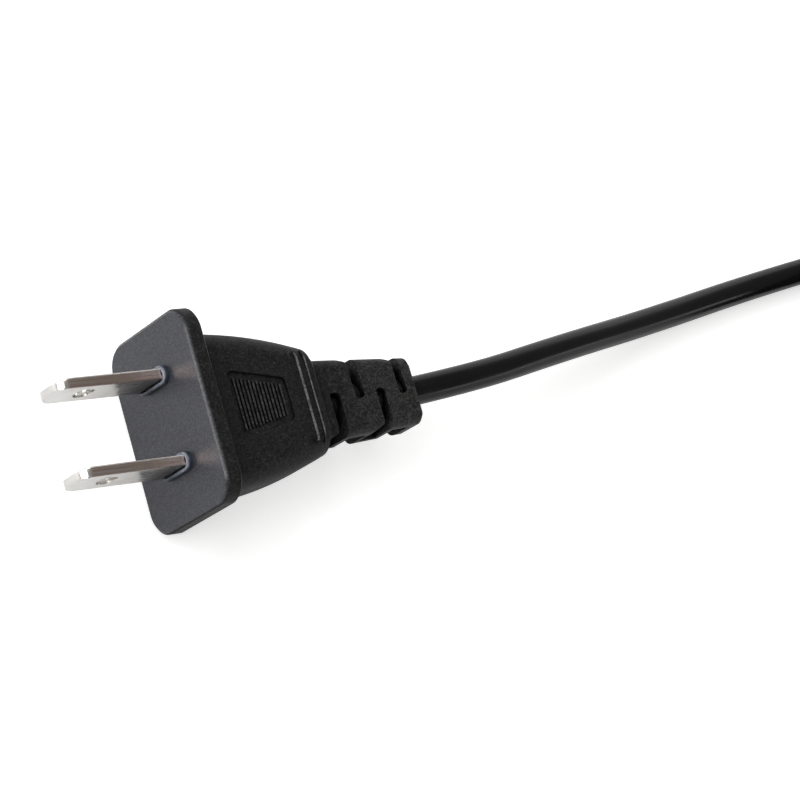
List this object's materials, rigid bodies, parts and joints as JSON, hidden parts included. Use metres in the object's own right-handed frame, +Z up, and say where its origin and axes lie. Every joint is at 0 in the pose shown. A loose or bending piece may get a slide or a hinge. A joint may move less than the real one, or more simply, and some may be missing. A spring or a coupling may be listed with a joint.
{
  "type": "type a plug",
  "caption": "Moulded flat-blade mains plug with a flanged face, ribbed grip panels and a slotted strain relief on its round flexible cord.",
  "frame": {"origin": "centre of the flange's front face, which meets the socket, midway between the blades", "axes": "+X the way the blades point, Y from blade to blade, +Z up with a wide grip face on top as the plug lies"},
  "size_m": [0.2637, 0.042, 0.021],
  "materials": {
    "moulded_black": "satin",
    "moulded_grey": "satin",
    "plated_blade": "polished",
    "core_skin": "satin",
    "copper": "satin",
    "cord_sheath": "gloss",
    "tie_strap": "satin",
    "tinned_wire": "satin"
  },
  "bodies": {
    "root": {"plug_body": "moulded_black", "blade_bridge": "moulded_grey", "blade_left": "plated_blade", "blade_right": "plated_blade", "core_left": "core_skin", "core_right": "core_skin", "strand_left": "copper", "strand_right": "copper", "cord": "cord_sheath", "cord_hank": "cord_sheath", "hank_tie_left": "tie_strap", "hank_tie_right": "tie_strap", "cord_tail": "cord_sheath", "tail_core_left": "core_skin", "tail_core_right": "core_skin", "tail_wire_left": "tinned_wire", "tail_wire_right": "tinned_wire"}
  },
  "joints": []
}
